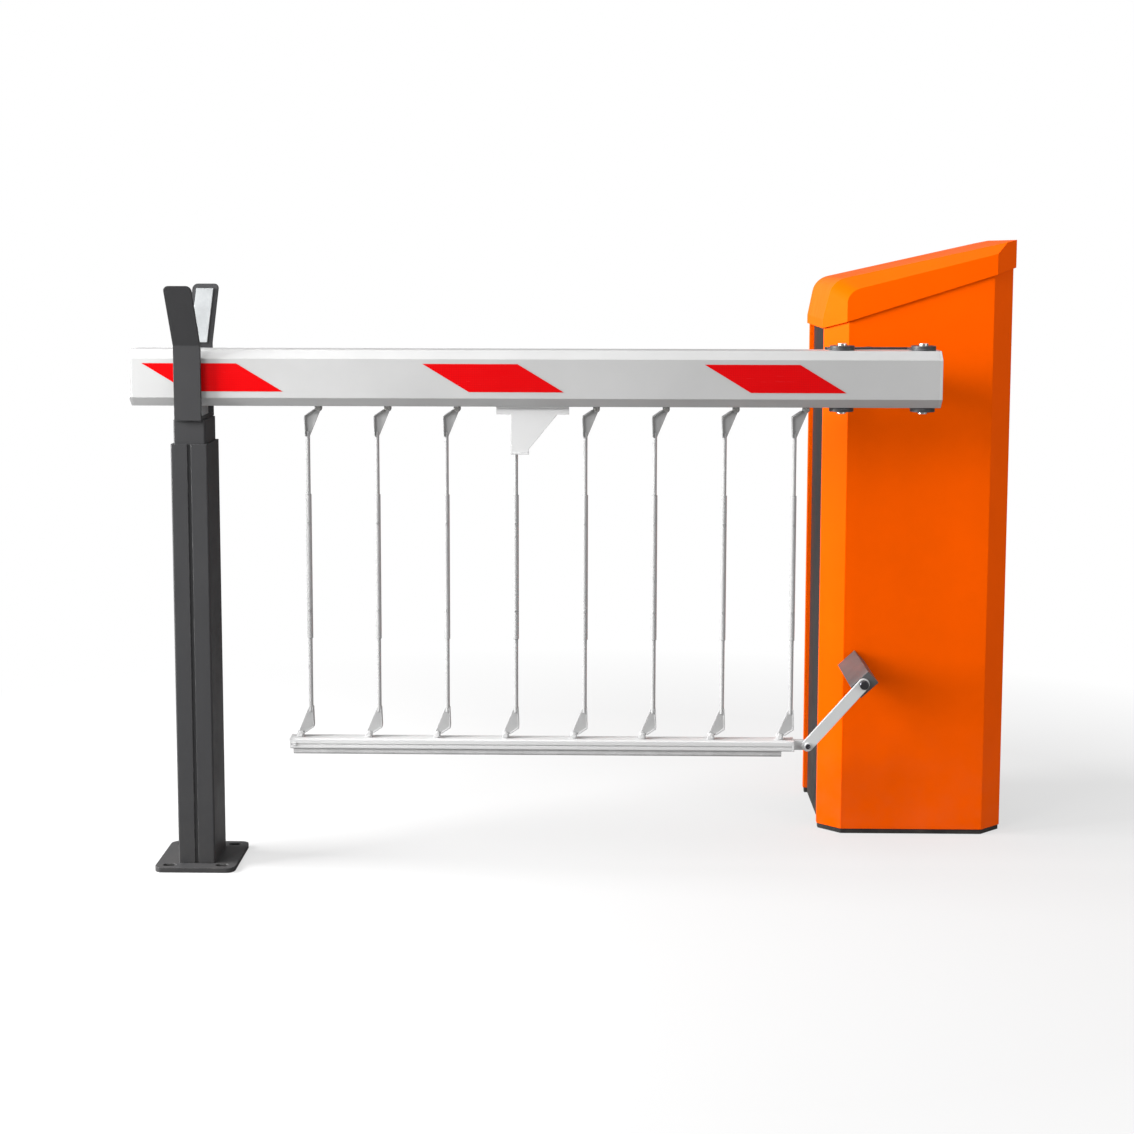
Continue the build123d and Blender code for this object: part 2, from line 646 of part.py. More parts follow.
def spring_rod():
    x, z = polar(SHAFT_X, SHAFT_Z, ARM, SPRING_ANGLE)
    body = rod_y(x, z, 12, SPRING_Y - 5, SPRING_Y + 5) + rod_z(x, SPRING_Y, 4, z - SPRING_SEAT, z - 8)
    body += rod_z(x, SPRING_Y, SPRING_R - 1, z - SPRING_SEAT - 4, z - SPRING_SEAT)
    return body - rod_y(x, z, CRANK_PIN_R + RUN, SPRING_Y - 6, SPRING_Y + 6)


def balance_spring():
    x, z = polar(SHAFT_X, SHAFT_Z, ARM, SPRING_ANGLE)
    top = z - SPRING_SEAT - 4
    return rod_z(x, SPRING_Y, SPRING_R, SPRING_FOOT - SPRING_WIRE, top) - rod_z(
        x, SPRING_Y, SPRING_R - SPRING_WIRE, SPRING_FOOT - 2 * SPRING_WIRE, top + 1)


def controller_box():
    box = block(-130, 0, PLATE_REAR + PLATE_T, PLATE_REAR + PLATE_T + 40, 590, 740)
    box = fillet(box.edges().filter_by(Axis.Y), 6)
    lid = block(-128, -2, PLATE_REAR + PLATE_T + 40, PLATE_REAR + PLATE_T + 46, 592, 738)
    lid = chamfer(lid.faces().sort_by(Axis.Y)[-1].edges(), 2)
    return [box, lid]


# ---- Boom ----


def boom_section(t):
    """The boom's octagonal outline in Y and Z, moved inward by t."""
    corners = octagon(*inset(BOOM_T / 2, BOOM_H / 2, BOOM_CHAMFER, BOOM_CHAMFER, t))
    return [(BOOM_Y + y, SHAFT_Z + z) for y, z in corners]


def boom_profile():
    left, right = BOOM_LEFT + CAP_T, BOOM_RIGHT - CAP_T
    tube = plate_yz(boom_section(0), left, right) - plate_yz(boom_section(BOOM_WALL), left - 1, right + 1)
    for side in (-1, 1):
        x = SHAFT_X + side * CLAMP_PITCH / 2
        tube -= rod_z(x, BOOM_Y, BOLT_R, BOOM_LOW - 5, BOOM_LOW + BOOM_H + 5)
    return tube


def boom_end_caps():
    caps = []
    for face, sign in ((BOOM_LEFT, 1), (BOOM_RIGHT, -1)):
        x0, x1 = sorted((face, face + sign * CAP_T))
        p0, p1 = sorted((face + sign * CAP_T, face + sign * (CAP_T + 14)))
        cap = plate_yz(boom_section(0), x0, x1) + plate_yz(boom_section(BOOM_WALL + 0.2), p0, p1)
        caps.append(cap)
    return caps


def boom_stickers():
    stickers = []
    low = BOOM_LOW + STICKER_LOW
    high = low + STICKER_H
    faces = ((BOOM_Y - BOOM_T / 2 - STICKER_T, BOOM_Y - BOOM_T / 2),
             (BOOM_Y + BOOM_T / 2, BOOM_Y + BOOM_T / 2 + STICKER_T))
    for y0, y1 in faces:
        for i in range(3 if y1 < BOOM_Y else 2):
            x = BOOM_LEFT + STICKER_FIRST + STICKER_PITCH * i
            outline = [(x, high), (x + STICKER_W, high)]
            outline += [(x + STICKER_W + STICKER_SLANT, low), (x + STICKER_SLANT, low)]
            stickers.append(plate_xz(outline, y0, y1))
    return stickers


def boom_saddle():
    """A plate behind the boom with two tongues above and two below, on a hub on the shaft."""
    half = CLAMP_PITCH / 2 + 24
    body = block(SHAFT_X - half, SHAFT_X + half, SADDLE_FRONT, SADDLE_BACK,
                 BOOM_LOW - TONGUE_T, BOOM_LOW + BOOM_H + TONGUE_T)
    for side in (-1, 1):
        x = SHAFT_X + side * CLAMP_PITCH / 2
        for z in (BOOM_LOW - TONGUE_T, BOOM_LOW + BOOM_H):
            tongue = block(x - CLAMP_R, x + CLAMP_R, BOOM_Y, SADDLE_BACK, z, z + TONGUE_T)
            tongue += rod_z(x, BOOM_Y, CLAMP_R, z, z + TONGUE_T)
            body += tongue - rod_z(x, BOOM_Y, BOLT_R, z - 1, z + TONGUE_T + 1)
    body += rod_y(SHAFT_X, SHAFT_Z, 34, SADDLE_BACK, SADDLE_BACK + 46)
    return body - rod_y(SHAFT_X, SHAFT_Z, SHAFT_R, SADDLE_BACK - 30, SADDLE_BACK + 60)


def clamp_discs():
    discs = []
    for side in (-1, 1):
        x = SHAFT_X + side * CLAMP_PITCH / 2
        for z in (BOOM_LOW - TONGUE_T - CLAMP_DISC_T, BOOM_LOW + BOOM_H + TONGUE_T):
            disc = rod_z(x, BOOM_Y, CLAMP_R, z, z + CLAMP_DISC_T)
            discs.append(disc - rod_z(x, BOOM_Y, BOLT_R, z - 1, z + CLAMP_DISC_T + 1))
    return discs


def clamp_bolts():
    bolts = []
    reach = BOOM_H / 2 + TONGUE_T + CLAMP_DISC_T
    for side in (-1, 1):
        x = SHAFT_X + side * CLAMP_PITCH / 2
        bolt = rod_z(x, BOOM_Y, BOLT_R - RUN, SHAFT_Z - reach, SHAFT_Z + reach)
        for end in (-1, 1):
            z0, z1 = sorted((SHAFT_Z + end * reach, SHAFT_Z + end * (reach + 4)))
            bolt += rod_z(x, BOOM_Y, 8, z0, z1)
        bolts.append(bolt)
    return bolts


def shaft_collar():
    """The ring that closes the shaft's hole in the front housing."""
    face = -CAB_D / 2
    ring = rod_y(SHAFT_X, SHAFT_Z, SHAFT_HOLE_R + 16, face - 6, face)
    ring += rod_y(SHAFT_X, SHAFT_Z, SHAFT_HOLE_R, face - 6, face + SHEET + 3)
    return ring - rod_y(SHAFT_X, SHAFT_Z, SHAFT_R + 1.5, face - 7, face + 10)


# ---- Skirt ----


def bar_pivot(i):
    """The X of a bar's upper pivot."""
    return SHAFT_X - BAR_FIRST + BAR_PITCH * i


def lug(x, z, face, sign):
    """Two ears that stand on a face and hold a pivot pin."""
    z0, z1 = sorted((face, z))
    ears = []
    for side in (-1, 1):
        y0, y1 = sorted((BOOM_Y + side * EAR_Y[0], BOOM_Y + side * EAR_Y[1]))
        ear = block(x - EAR_HALF, x + EAR_HALF, y0, y1, z0, z1) + rod_y(x, z, EAR_HALF, y0, y1)
        ear = ear - block(x - 3 * EAR_HALF, x + 3 * EAR_HALF, y0 - 1, y1 + 1,
                          *sorted((face, face - sign * 20)))
        ears.append(ear - rod_y(x, z, PIN_R + 0.02, y0 - 1, y1 + 1))
    base0, base1 = sorted((face, face + sign * 0.8))
    foot = block(x - EAR_HALF, x + EAR_HALF, BOOM_Y - EAR_Y[1], BOOM_Y + EAR_Y[1], base0, base1)
    return ears[0] + ears[1] + foot


def pivot_pin(x, z):
    pin = rod_y(x, z, PIN_R, BOOM_Y - EAR_Y[1] - 1, BOOM_Y + EAR_Y[1] + 1)
    return pin + rod_y(x, z, PIN_R + 1.6, BOOM_Y - EAR_Y[1] - 2.4, BOOM_Y - EAR_Y[1])


def skirt_hinge_lugs():
    return [lug(bar_pivot(i), PIVOT_TOP, BOOM_LOW, -1) for i in range(BARS)]


def skirt_hinge_pins():
    return [pivot_pin(bar_pivot(i), PIVOT_TOP) for i in range(BARS)]


def bar_end(play):
    """The bent end of a bar about its pivot at the origin, with the rod below it."""
    half = BAR_SHIFT / 2
    elbow = [(-half - 4.2, -13), (-half - 4.6, -18)]
    web = [(1.5, 4.2)] + elbow + [(-half - ROD_R, -48), (-half + ROD_R, -48), (4.2, -1.5)]
    body = plate_xz(web, -WEB_T / 2, WEB_T / 2) + rod_y(0, 0, EYE_R, -WEB_T / 2, WEB_T / 2)
    edge = [(-8.5, -3.2)] + elbow + [(-half - ROD_R + 0.3, -48)]
    for a, b in zip(edge, edge[1:]):
        body += bar_xz(a, b, 0.8, -6, 6)
    return body - rod_y(0, 0, PIN_R + play, -5, 5)


def hanging_bar(i, rail_carrier):
    """Upper rod, lower rod, sleeve and two screws of one bar."""
    x, low_x = bar_pivot(i), bar_pivot(i) - BAR_SHIFT
    mid = x - BAR_SHIFT / 2
    overlap = 60
    upper = Pos(x, BOOM_Y, PIVOT_TOP) * bar_end(RUN)
    upper += rod_z(mid, BOOM_Y, ROD_R, SLEEVE_HIGH - overlap, PIVOT_TOP - 40)
    lower = Pos(low_x, BOOM_Y, PIVOT_LOW) * Rot(0, 180, 0) * bar_end(RUN if rail_carrier else 0.1)
    lower += rod_z(mid, BOOM_Y, ROD_R, PIVOT_LOW + 40, SLEEVE_LOW + overlap)
    sleeve = rod_z(mid, BOOM_Y, SLEEVE_R, SLEEVE_LOW, SLEEVE_HIGH)
    sleeve -= rod_z(mid, BOOM_Y, ROD_R, SLEEVE_LOW - 1, SLEEVE_HIGH + 1)
    screws = [pan_screw_y(mid, z, BOOM_Y - SLEEVE_R + 0.4, -1, 2.4, 1.8)
              for z in (SLEEVE_LOW + 50, SLEEVE_HIGH - 50)]
    for screw in screws:
        sleeve -= screw
    return [upper, lower, sleeve] + screws


def skirt_rail():
    y0, y1 = BOOM_Y - RAIL_W / 2, BOOM_Y + RAIL_W / 2
    x0, x1 = RAIL_X0 + RAIL_CAP, RAIL_X1
    rail = block(x0, x1, y0, y1, RAIL_LOW, RAIL_TOP)
    rail = fillet(rail.edges().filter_by(Axis.X), 2.5)
    rail -= block(x0 - 1, x1 + 1, y0 + RAIL_WALL, y1 - RAIL_WALL, RAIL_LOW + RAIL_WALL, RAIL_TOP - RAIL_WALL)
    groove = 1.2
    for y, sign in ((y0, 1), (y1, -1)):
        g0, g1 = sorted((y, y + sign * groove))
        rail -= block(x0 - 1, x1 + 1, g0, g1, RAIL_LOW + 7, RAIL_LOW + 9)
    return rail


def rail_edge():
    """The soft edge under the rail: a hollow strip with a round nose."""
    x0, x1 = RAIL_X0 + 6, RAIL_X1 - 18
    half = RAIL_W / 2 - 4
    low = RAIL_LOW - EDGE_H
    strip = block(x0, x1, BOOM_Y - half, BOOM_Y + half, low, RAIL_LOW)
    strip = fillet(strip.faces().sort_by(Axis.Z)[0].edges().filter_by(Axis.X), 5)
    return strip - block(x0 - 1, x1 + 1, BOOM_Y - half + 3, BOOM_Y + half - 3, low + 3, RAIL_LOW - 3)


def rail_fittings():
    """Lugs and pins on the rail, its two end pieces and the small bolt at the free end."""
    fittings = []
    for i in range(BARS):
        x = bar_pivot(i) - BAR_SHIFT
        foot = lug(x, PIVOT_LOW, RAIL_TOP, 1) + pivot_pin(x, PIVOT_LOW)
        for side in (-1, 1):
            y0, y1 = sorted((BOOM_Y + side * EAR_Y[0], BOOM_Y + side * EAR_Y[1]))
            foot += rod_y(x, PIVOT_LOW, PIN_R + 0.02, y0, y1)
        fittings.append(foot)
    half = RAIL_W / 2
    plug = (BOOM_Y - half + 3, BOOM_Y + half - 3, RAIL_LOW + 3, RAIL_TOP - 3)
    cap = block(RAIL_X0, RAIL_X0 + RAIL_CAP, BOOM_Y - half, BOOM_Y + half, RAIL_LOW, RAIL_TOP)
    cap += block(RAIL_X0 + RAIL_CAP, RAIL_X0 + 15, *plug)
    tab = block(RAIL_X1, LINK_X, *TAB_Y, LINK_PIN_Z - TAB_HALF, LINK_PIN_Z + TAB_HALF)
    tab += rod_y(LINK_X, LINK_PIN_Z, TAB_HALF, *TAB_Y)
    tab += block(RAIL_X1, RAIL_X1 + 4, BOOM_Y - half, BOOM_Y + half, RAIL_LOW, RAIL_TOP)
    tab += block(RAIL_X1 - 30, RAIL_X1, *plug)
    bolt = pan_screw_y(RAIL_X0 + 9, RAIL_TOP - RAIL_H / 2, BOOM_Y - half, -1, 3.2, 2)
    return fittings + [cap, tab, bolt]


def hanger_plate():
    """A folded plate in front of the bars, hung under the boom by two tabs."""
    x = SHAFT_X - HANGER_X
    y0, y1 = BOOM_Y - 15, BOOM_Y - 12.5
    low = BOOM_LOW - HANGER_H
    outline = [(x, BOOM_LOW), (x, low), (x + 31, low), (x + 31, low + 6), (x + 80, BOOM_LOW - 14)]
    outline += [(x + 100, BOOM_LOW - 14), (x + 100, BOOM_LOW)]
    plate = plate_xz(outline, y0, y1)
    plate += block(x - 25, x, y0, y1, BOOM_LOW - 14, BOOM_LOW)
    plate += block(x, x + 31, y0 - 9, y1, low - 2.5, low)
    plate += block(x - 25, x + 100, y0 - 6, y1, BOOM_LOW - 2.5, BOOM_LOW)
    return plate


# ---- Link arm and its bracket ----
def turned(x, z, angle):
    """A vector of the XZ plane after the boom-wise turn, positive from -X to +Z."""
    a = radians(angle)
    return (x * cos(a) + z * sin(a), -x * sin(a) + z * cos(a))


def link_end_when_up():
    """Where the link's rail pivot is with the boom at 90 degrees."""
    top = turned(-BAR_FIRST, PIVOT_TOP - SHAFT_Z, 90)
    bar = turned(-BAR_SHIFT, PIVOT_LOW - PIVOT_TOP, LEAN)
    end = turned(BAR_FIRST + BAR_SHIFT - LINK_PIN_X, LINK_PIN_Z - PIVOT_LOW, 90)
    return (SHAFT_X + top[0] + bar[0] + end[0], SHAFT_Z + top[1] + bar[1] + end[1])


def link_anchor():
    """The link's cabinet pivot, equally far from both ends of its travel."""
    down = (LINK_X, LINK_PIN_Z)
    up = link_end_when_up()
    dx, dz = up[0] - down[0], up[1] - down[1]
    chord = hypot(dx, dz)
    side = sqrt(LINK_LENGTH ** 2 - chord ** 2 / 4)
    return (down[0] + dx / 2 + dz / chord * side, down[1] + dz / 2 - dx / chord * side)


ANCHOR = link_anchor()
UP = link_end_when_up()
LINK_DOWN_ANGLE = degrees(atan2(LINK_PIN_Z - ANCHOR[1], LINK_X - ANCHOR[0]))
LINK_UP_ANGLE = degrees(atan2(UP[1] - ANCHOR[1], UP[0] - ANCHOR[0]))
LINK_SWEEP = (LINK_DOWN_ANGLE - LINK_UP_ANGLE) % 360


def link_arm():
    arm = bar_xz(ANCHOR, (LINK_X, LINK_PIN_Z), LINK_HALF, *LINK_Y)
    arm -= rod_y(ANCHOR[0], ANCHOR[1], LINK_PIVOT_R + RUN, LINK_Y[0] - 1, LINK_Y[1] + 1)
    nut = rod_y(LINK_X, LINK_PIN_Z, 5.5, LINK_Y[0] - 4, LINK_Y[0])
    return [arm, chamfer(nut.faces().sort_by(Axis.Y)[0].edges(), 0.8)]


def link_bracket():
    """A channel turned by 45 degrees that stands out from the cabinet's front."""
    front = TAB_Y[0]
    back = -CAB_D / 2
    x, z = ANCHOR[0] + 2, ANCHOR[1] - 2

    def prism(long, deep, shift, y0, y1):
        solid = Pos(0, (y0 + y1) / 2, 0) * Box(long, y1 - y0, deep)
        return Pos(x, 0, z) * Rot(0, -43, 0) * Pos(0, 0, shift) * solid

    body = prism(BRACKET_LONG, BRACKET_DEEP, 0, front, back)
    inner = BRACKET_LONG - 2 * BRACKET_WALL
    body -= prism(inner, BRACKET_DEEP, -BRACKET_WALL, front + 6, back - 6)
    return body - rod_y(ANCHOR[0], ANCHOR[1], LINK_PIVOT_R, front - 1, front + 10)


def link_pivot_bolt():
    bolt = rod_y(ANCHOR[0], ANCHOR[1], LINK_PIVOT_R, LINK_Y[0] - 2, TAB_Y[0] + 6)
    head = rod_y(ANCHOR[0], ANCHOR[1], 8, LINK_Y[0] - 7, LINK_Y[0] - 0.5)
    head = chamfer(head.faces().sort_by(Axis.Y)[0].edges(), 1.2)
    nut = rod_y(ANCHOR[0], ANCHOR[1], 6.4, TAB_Y[0] + 6, TAB_Y[0] + 11)
    return bolt + head + nut


# ---- Support post ----
def tube_z(half_w, half_d, wall, z0, z1):
    outer = block(-half_w, half_w, -half_d, half_d, z0, z1)
    outer = fillet(outer.edges().filter_by(Axis.Z), 3)
    return outer - block(-half_w + wall, half_w - wall, -half_d + wall, half_d - wall, z0 - 1, z1 + 1)


def post_tube():
    half_w, half_d = POST_W / 2, POST_D / 2
    tube = tube_z(half_w, half_d, POST_WALL, POST_BASE[2], POST_TOP)
    for side in (-1, 1):
        y0, y1 = sorted((side * half_d, side * (half_d - 2)))
        tube -= block(-3, 3, y0, y1, 0, POST_TOP + 1)
    return Pos(POST_X, BOOM_Y, 0) * tube


def post_base():
    w, d, t = POST_BASE
    plate = block(-w / 2, w / 2, -d / 2, d / 2, 0, t)
    plate = fillet(plate.edges().filter_by(Axis.Z), 14)
    travel = POST_SLOT / 2 - POST_BOLT_R
    for sx in (-1, 1):
        for sy in (-1, 1):
            x, y = sx * POST_BOLTS[0] / 2, sy * POST_BOLTS[1] / 2
            plate -= block(x - travel, x + travel, y - POST_BOLT_R, y + POST_BOLT_R, -1, t + 1)
            plate -= rod_z(x - travel, y, POST_BOLT_R, -1, t + 1)
            plate -= rod_z(x + travel, y, POST_BOLT_R, -1, t + 1)
    return Pos(POST_X, BOOM_Y, 0) * plate


def fork_tube():
    half_w = POST_W / 2 - POST_WALL - TUBE_GAP
    half_d = POST_D / 2 - POST_WALL - TUBE_GAP
    tube = tube_z(half_w, half_d, 3, TUBE_LOW, TUBE_TOP)
    tube += block(-half_w + 1, half_w - 1, -half_d + 1, half_d - 1, TUBE_TOP - 4, TUBE_TOP)
    return Pos(POST_X, BOOM_Y, 0) * tube


def fork_strap(inside):
    """Half of the fork's outline in Y and Z, from the middle of its seat to its tip."""
    seat = TUBE_TOP if not inside else TUBE_TOP + FORK_T
    side = FORK_IN if inside else FORK_IN + FORK_T
    return [(0, seat), (side, seat), (side, FORK_KNEE), (side + FORK_FLARE, FORK_TOP)]


def support_fork():
    right = fork_strap(False) + fork_strap(True)[::-1]
    left = [(-y, z) for y, z in right]
    parts = [plate_yz([(BOOM_Y + y, z) for y, z in side], POST_X - FORK_W / 2, POST_X + FORK_W / 2)
             for side in (right, left)]
    reach = FORK_IN + FORK_T + FORK_FLARE
    front = block(POST_X - FORK_W / 2, POST_X + FORK_W / 2, BOOM_Y - reach, BOOM_Y + reach,
                  TUBE_TOP, FORK_TOP)
    tips = front.faces().sort_by(Axis.Z)[-1].edges().filter_by(Axis.Y)
    return (parts[0] + parts[1]) & fillet(tips, 9)


def fork_pads():
    """The rubber seat under the boom and the light pads inside the flared arms."""
    seat = block(POST_X - FORK_W / 2 + 4, POST_X + FORK_W / 2 - 4, BOOM_Y - 24, BOOM_Y + 24,
                 TUBE_TOP + FORK_T, BOOM_LOW - GAP)
    slope = FORK_FLARE / (FORK_TOP - FORK_KNEE)
    pads = [seat]
    for side in (-1, 1):
        z0, z1 = FORK_KNEE + GAP, FORK_TOP - PAD_MARGIN
        y0 = FORK_IN + slope * (z0 - FORK_KNEE)
        y1 = FORK_IN + slope * (z1 - FORK_KNEE)
        outline = [(y0, z0), (y1, z1), (y1 - PAD_T, z1), (y0 - PAD_T, z0)]
        points = [(BOOM_Y + side * y, z) for y, z in outline]
        half = FORK_W / 2 - PAD_MARGIN
        pads.append(plate_yz(points, POST_X - half, POST_X + half))
    return pads


# ---- Write every sub-part ----
save("base_frame", base_frame())
save("frame_uprights", *uprights())
save("front_housing", front_housing())
save("rear_door", rear_door())
save("side_panels", *side_panels())
save("hood", hood())
save("hood_screws", *hood_screws())
save("door_hinge_leaves", *hinge_leaves())
save("door_hinge_pins", *door_hinges())
save("lock_body", lock_body())
save("lock_core", lock_core())
save("machine_frame", machine_frame())
save("stop_buffers", *stop_buffers())
save("shaft_bearings", *shaft_bearings())
save("bearing_bolts", *bearing_bolts())
save("gearbox_housing", gearbox_housing())
save("gearbox_cover", gearbox_cover())
save("motor_housing", motor_housing())
save("motor_stator", motor_stator())
save("motor_end_cover", motor_end_cover())
save("rotor", rotor())
save("drive_pinion", drive_pinion())
save("output_gear", output_gear())
save("crank", crank())
save("connecting_rod", connecting_rod())
save("main_shaft", main_shaft())
save("shaft_lever", shaft_lever())
save("spring_rod", spring_rod())
save("balance_spring", balance_spring())
save("controller_box", *controller_box())
save("boom_profile", boom_profile())
save("boom_end_caps", *boom_end_caps())
save("boom_stickers", *boom_stickers())
save("boom_saddle", boom_saddle())
save("clamp_discs", *clamp_discs())
save("clamp_bolts", *clamp_bolts())
save("shaft_collar", shaft_collar())
save("skirt_hinge_lugs", *skirt_hinge_lugs())
save("skirt_hinge_pins", *skirt_hinge_pins())
for bar in range(BARS):
    save("hanging_bar_" + str(bar + 1), *hanging_bar(bar, bar == BARS - 1))
save("skirt_rail", skirt_rail())
save("rail_edge", rail_edge())
save("rail_fittings", *rail_fittings())
save("hanger_plate", hanger_plate())
save("link_arm", *link_arm())
save("link_bracket", link_bracket())
save("link_pivot_bolt", link_pivot_bolt())
save("post_tube", post_tube())
save("post_base", post_base())
save("fork_tube", fork_tube())
save("support_fork", support_fork())
save("fork_pads", *fork_pads())
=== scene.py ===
import json
from math import cos, pi, radians, sin

import bmesh
import bpy
from mathutils import Matrix, Vector


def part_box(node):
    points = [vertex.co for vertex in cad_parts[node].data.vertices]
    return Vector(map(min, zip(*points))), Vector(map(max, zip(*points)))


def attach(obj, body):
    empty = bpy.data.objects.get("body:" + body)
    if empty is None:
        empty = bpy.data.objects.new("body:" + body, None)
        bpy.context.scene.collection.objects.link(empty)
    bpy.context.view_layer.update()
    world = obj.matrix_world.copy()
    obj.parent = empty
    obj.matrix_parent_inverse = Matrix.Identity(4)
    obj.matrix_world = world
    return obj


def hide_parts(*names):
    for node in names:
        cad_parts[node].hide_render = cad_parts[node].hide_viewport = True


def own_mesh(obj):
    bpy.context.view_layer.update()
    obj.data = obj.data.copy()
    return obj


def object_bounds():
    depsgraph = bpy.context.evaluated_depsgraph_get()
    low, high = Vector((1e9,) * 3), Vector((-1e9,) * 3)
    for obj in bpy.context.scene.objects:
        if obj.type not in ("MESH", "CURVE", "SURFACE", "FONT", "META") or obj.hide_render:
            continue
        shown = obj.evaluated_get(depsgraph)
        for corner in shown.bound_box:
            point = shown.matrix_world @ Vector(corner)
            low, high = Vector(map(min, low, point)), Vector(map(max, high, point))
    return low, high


# Parking barrier gate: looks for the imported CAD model. Metres, the same frame as the CAD:
# X along the boom, -Y towards the roadway (the front), Z up.

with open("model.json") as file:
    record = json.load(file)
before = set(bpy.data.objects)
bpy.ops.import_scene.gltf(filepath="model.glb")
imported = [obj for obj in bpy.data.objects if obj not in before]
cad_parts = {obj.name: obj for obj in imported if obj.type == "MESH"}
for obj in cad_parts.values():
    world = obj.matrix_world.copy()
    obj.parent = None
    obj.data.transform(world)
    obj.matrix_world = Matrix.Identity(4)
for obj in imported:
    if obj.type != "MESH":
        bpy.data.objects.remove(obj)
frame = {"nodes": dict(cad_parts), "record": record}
cad_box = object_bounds()
NODES = frame["nodes"]


# ---------------------------------------------------------------- shader helpers
class Shader:
    """A material's node tree with short names for the nodes that repeat."""

    def __init__(self, name):
        self.material = bpy.data.materials.new(name)
        self.material.use_nodes = True
        self.tree = self.material.node_tree
        self.principled = self.tree.nodes["Principled BSDF"]
        self.coords = self.add("ShaderNodeTexCoord").outputs["Object"]
        self.rounded = None

    def add(self, kind, **settings):
        node = self.tree.nodes.new(kind)
        for key, value in settings.items():
            setattr(node, key, value)
        return node

    def link(self, source, target):
        self.tree.links.new(source, target)

    def set(self, **values):
        """Set constants on the shader's own sockets; underscores stand for spaces."""
        for key, value in values.items():
            self.principled.inputs[key.replace("_", " ")].default_value = value

    def stretched(self, x, y, z, place=(0.0, 0.0, 0.0)):
        mapping = self.add("ShaderNodeMapping")
        self.link(self.coords, mapping.inputs["Vector"])
        mapping.inputs["Location"].default_value = place
        mapping.inputs["Scale"].default_value = (x, y, z)
        return mapping.outputs["Vector"]

    def noise(self, scale, detail, rough=0.55, coords=None):
        node = self.add("ShaderNodeTexNoise")
        self.link(coords or self.coords, node.inputs["Vector"])
        node.inputs["Scale"].default_value = scale
        node.inputs["Detail"].default_value = detail
        node.inputs["Roughness"].default_value = rough
        return node.outputs["Fac"]

    def cells(self, scale, feature="DISTANCE_TO_EDGE", random_cells=1.0):
        node = self.add("ShaderNodeTexVoronoi", feature=feature)
        self.link(self.coords, node.inputs["Vector"])
        node.inputs["Scale"].default_value = scale
        node.inputs["Randomness"].default_value = random_cells
        return node.outputs["Distance"]

    def ramp(self, value, low, high, out_low=0.0, out_high=1.0):
        node = self.add("ShaderNodeMapRange", clamp=True)
        self.link(value, node.inputs["Value"])
        node.inputs["From Min"].default_value = low
        node.inputs["From Max"].default_value = high
        node.inputs["To Min"].default_value = out_low
        node.inputs["To Max"].default_value = out_high
        return node.outputs["Result"]

    def math(self, operation, a, b):
        node = self.add("ShaderNodeMath", operation=operation)
        for socket, value in zip(node.inputs, (a, b)):
            if isinstance(value, (int, float)):
                socket.default_value = value
            else:
                self.link(value, socket)
        return node.outputs["Value"]

    def mix(self, factor, a, b):
        node = self.add("ShaderNodeMix", data_type="RGBA")
        self.link(factor, node.inputs["Factor"])
        for name, value in (("A", a), ("B", b)):
            socket = [s for s in node.inputs if s.name == name and s.type == "RGBA"][0]
            if isinstance(value, tuple):
                socket.default_value = (*value, 1.0)
            else:
                self.link(value, socket)
        return [s for s in node.outputs if s.type == "RGBA"][0]

    def height(self):
        split = self.add("ShaderNodeSeparateXYZ")
        self.link(self.coords, split.inputs["Vector"])
        return split.outputs["Z"]

    def edges(self, radius):
        """1 on edges and corners within radius, 0 on flats; keeps the rounded normal too."""
        bevel = self.add("ShaderNodeBevel", samples=4)
        bevel.inputs["Radius"].default_value = radius
        self.rounded = bevel.outputs["Normal"]
        plain = self.add("ShaderNodeNewGeometry")
        dot = self.add("ShaderNodeVectorMath", operation="DOT_PRODUCT")
        self.link(bevel.outputs["Normal"], dot.inputs[0])
        self.link(plain.outputs["Normal"], dot.inputs[1])
        return self.ramp(dot.outputs["Value"], 0.97, 0.80)

    def bump(self, value, distance, strength, normal=None):
        node = self.add("ShaderNodeBump")
        node.inputs["Distance"].default_value = distance
        node.inputs["Strength"].default_value = strength
        self.link(value, node.inputs["Height"])
        if normal is None:
            normal = self.rounded
        if normal is not None:
            self.link(normal, node.inputs["Normal"])
        return node.outputs["Normal"]

    def finish(self, color, rough, normal):
        self.link(color, self.principled.inputs["Base Color"])
        self.link(rough, self.principled.inputs["Roughness"])
        self.link(normal, self.principled.inputs["Normal"])
        return self.material


def scaled(color, factor):
    """The colour made brighter or darker, up to white."""
    return tuple(min(1.0, c * factor) for c in color)


# ---------------------------------------------------------------- materials
DUST_TOP = 0.22
DUST_COLOR = (0.36, 0.31, 0.25)
STAIN_COLOR = (0.42, 0.40, 0.37)


